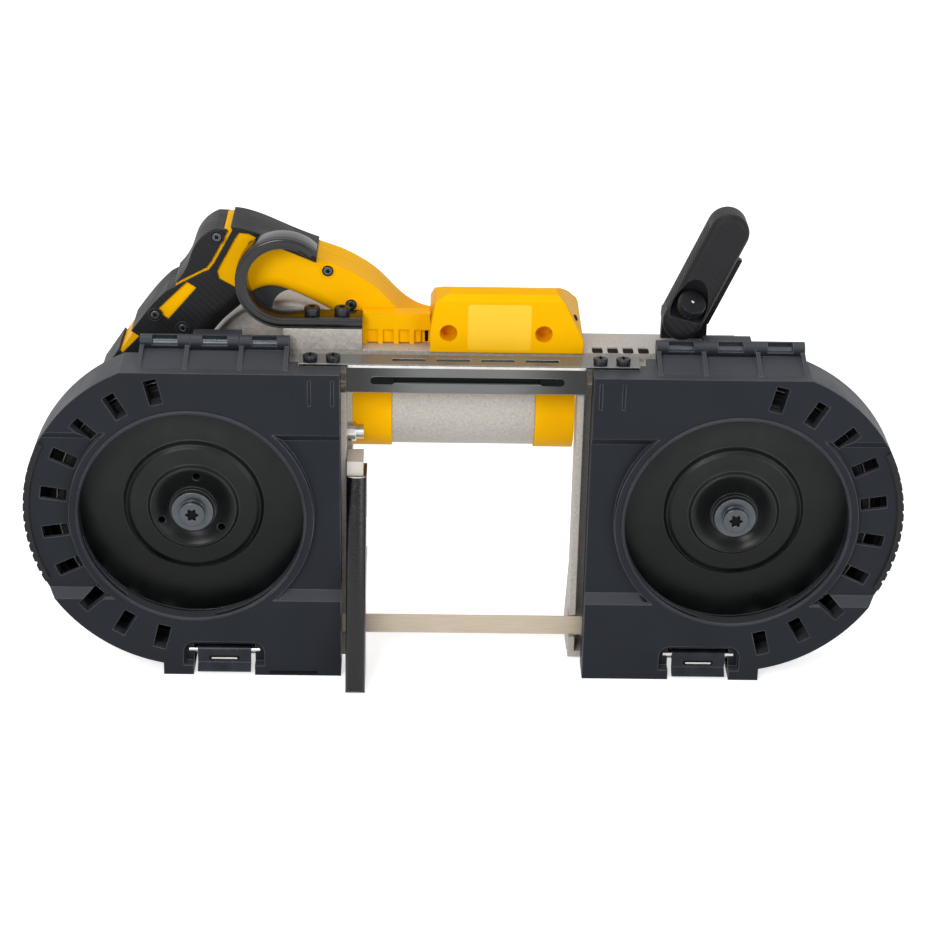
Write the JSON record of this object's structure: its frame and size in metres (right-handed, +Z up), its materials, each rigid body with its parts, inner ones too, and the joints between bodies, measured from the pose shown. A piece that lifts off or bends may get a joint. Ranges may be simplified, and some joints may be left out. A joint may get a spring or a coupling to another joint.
{
  "type": "portable band saw",
  "caption": "Hand-held band saw: cast frame with two covered wheels, toothed blade across an open throat, motor above, pistol handle with trigger, hanging hook and tilting front grip.",
  "frame": {"origin": "middle of the saw's plan, on the plane that its feet stand on", "axes": "+X from the drive wheel to the idler wheel, +Y away from the wheel guard, +Z up"},
  "size_m": [0.534, 0.1334, 0.2894],
  "materials": {
    "cast_aluminium": "sandblasted cast aluminium",
    "guard_plastic": "textured dark grey plastic",
    "yellow_plastic": "yellow moulded plastic",
    "grip_rubber": "soft dark grey overmould",
    "bumper_rubber": "ribbed black rubber",
    "wheel_metal": "black coated die casting",
    "blade_steel": "ground spring steel",
    "bright_steel": "ground steel",
    "dark_steel": "black oxide steel",
    "gloss_black": "gloss black paint",
    "black_plastic": "fine textured black plastic",
    "trigger_plastic": "dark grey plastic"
  },
  "bodies": {
    "frame": {"frame_casting": "cast_aluminium", "drive_bearing": "bright_steel", "blade": "blade_steel", "hinge_pins": "bright_steel", "hinge_brackets": "guard_plastic", "rear_guide_block": "dark_steel", "front_guide_block": "dark_steel", "work_stop_bolt": "dark_steel", "gear_case": "cast_aluminium", "cross_bearings": "bright_steel", "motor_sleeve": "cast_aluminium", "motor_stator": "bright_steel", "motor_cap_rear": "yellow_plastic", "motor_cap_front": "yellow_plastic", "motor_bearings": "bright_steel", "motor_cover": "yellow_plastic", "handle_shell_front": "yellow_plastic", "handle_shell_rear": "yellow_plastic", "grip_overmold": "grip_rubber", "trigger_switch": "black_plastic", "battery_dock": "black_plastic", "hang_hook": "gloss_black", "hook_screws": "dark_steel", "front_handle_bracket": "cast_aluminium"},
    "guard": {"rear_wheel_cover": "guard_plastic", "front_wheel_cover": "guard_plastic", "guard_bumpers": "bumper_rubber", "blade_rail": "gloss_black", "rail_screws": "dark_steel", "latch_pins": "bright_steel"},
    "rear_latch": {"rear_latch": "dark_steel"},
    "front_latch": {"front_latch": "dark_steel"},
    "drive_wheel": {"drive_wheel": "wheel_metal", "drive_tyre": "bumper_rubber", "drive_wheel_bolt": "dark_steel", "drive_axle": "bright_steel", "drive_gear": "bright_steel"},
    "cross_shaft": {"cross_shaft": "bright_steel", "cross_pinion": "bright_steel", "bevel_gear": "bright_steel"},
    "motor_rotor": {"motor_rotor": "bright_steel", "motor_shaft": "bright_steel", "bevel_pinion": "bright_steel"},
    "tension_slide": {"tension_slide": "dark_steel", "idler_axle": "bright_steel", "idler_wheel_bolt": "dark_steel"},
    "idler_wheel": {"idler_wheel": "wheel_metal", "idler_tyre": "bumper_rubber", "idler_bearing": "bright_steel"},
    "tension_lever": {"tension_lever": "dark_steel"},
    "trigger": {"trigger": "trigger_plastic"},
    "lock_off_button": {"lock_off_button": "black_plastic"},
    "work_stop": {"work_stop": "gloss_black"},
    "front_handle": {"front_handle_grip": "grip_rubber"},
    "handle_lock_knob": {"handle_lock_knob": "black_plastic"},
    "rear_outer_roller": {"rear_outer_roller": "bright_steel"},
    "rear_inner_roller": {"rear_inner_roller": "bright_steel"},
    "front_outer_roller": {"front_outer_roller": "bright_steel"},
    "front_inner_roller": {"front_inner_roller": "bright_steel"}
  },
  "joints": [
    {"name": "guard_hinge", "type": "hinge", "parent": "frame", "child": "guard", "pos_m": [0, -0.01275, 0.209], "axis": [-1, 0, 0], "range_deg": [0, 95]},
    {"name": "rear_latch_hinge", "type": "hinge", "parent": "guard", "child": "rear_latch", "pos_m": [-0.1475, -0.03775, 0.0145], "axis": [-1, 0, 0], "range_deg": [0, 35]},
    {"name": "front_latch_hinge", "type": "hinge", "parent": "guard", "child": "front_latch", "pos_m": [0.1475, -0.03775, 0.0145], "axis": [-1, 0, 0], "range_deg": [0, 35]},
    {"name": "drive_wheel_spin", "type": "hinge", "parent": "frame", "child": "drive_wheel", "pos_m": [-0.165, -0.02075, 0.108], "axis": [0, 1, 0], "continuous": true},
    {"name": "cross_shaft_spin", "type": "hinge", "parent": "frame", "child": "cross_shaft", "pos_m": [-0.14422, 0.02925, 0.16], "axis": [0, 1, 0], "continuous": true},
    {"name": "motor_spin", "type": "hinge", "parent": "frame", "child": "motor_rotor", "pos_m": [0, 0.03325, 0.16], "axis": [1, 0, 0], "continuous": true},
    {"name": "tension_slide", "type": "slide", "parent": "frame", "child": "tension_slide", "axis": [-1, 0, 0], "range_m": [0, 0.0036]},
    {"name": "idler_wheel_spin", "type": "hinge", "parent": "tension_slide", "child": "idler_wheel", "pos_m": [0.165, -0.02075, 0.108], "axis": [0, 1, 0], "continuous": true},
    {"name": "tension_lever_turn", "type": "hinge", "parent": "frame", "child": "tension_lever", "pos_m": [0.129, 0.00725, 0.152], "axis": [0, 1, 0], "range_deg": [0, 180]},
    {"name": "trigger_pull", "type": "slide", "parent": "frame", "child": "trigger", "axis": [-0.788, 0, 0.6157], "range_m": [0, 0.006], "stiffness_N_per_m": 1200, "springref_m": -0.003},
    {"name": "lock_off_push", "type": "slide", "parent": "frame", "child": "lock_off_button", "axis": [0, 1, 0], "range_m": [-0.0025, 0.0025], "stiffness_N_per_m": 900},
    {"name": "work_stop_slide", "type": "slide", "parent": "frame", "child": "work_stop", "axis": [0, 0, 1], "range_m": [0, 0.03]},
    {"name": "front_handle_swing", "type": "hinge", "parent": "frame", "child": "front_handle", "pos_m": [0.133, 0.00725, 0.229], "axis": [0, 1, 0], "range_deg": [-30, 30]},
    {"name": "handle_lock_pull", "type": "slide", "parent": "front_handle", "child": "handle_lock_knob", "axis": [0.2097, -0.5641, 0.7987], "range_m": [0, 0.004], "stiffness_N_per_m": 600, "springref_m": -0.002},
    {"name": "rear_outer_roller_spin", "type": "hinge", "parent": "frame", "child": "rear_outer_roller", "pos_m": [-0.086, -0.02635, 0.0249], "axis": [0, 0, 1], "continuous": true},
    {"name": "rear_inner_roller_spin", "type": "hinge", "parent": "frame", "child": "rear_inner_roller", "pos_m": [-0.086, -0.01515, 0.0249], "axis": [0, 0, 1], "continuous": true},
    {"name": "front_outer_roller_spin", "type": "hinge", "parent": "frame", "child": "front_outer_roller", "pos_m": [0.086, -0.02635, 0.0249], "axis": [0, 0, 1], "continuous": true},
    {"name": "front_inner_roller_spin", "type": "hinge", "parent": "frame", "child": "front_inner_roller", "pos_m": [0.086, -0.01515, 0.0249], "axis": [0, 0, 1], "continuous": true}
  ],
  "couplings": [
    {"joint": "cross_shaft_spin", "follows": "drive_wheel_spin", "ratio": -2.1111},
    {"joint": "motor_spin", "follows": "drive_wheel_spin", "ratio": -4.2222},
    {"joint": "idler_wheel_spin", "follows": "drive_wheel_spin", "ratio": 1},
    {"joint": "tension_slide", "follows": "tension_lever_turn", "m_per_rad": 0.0011459}
  ]
}
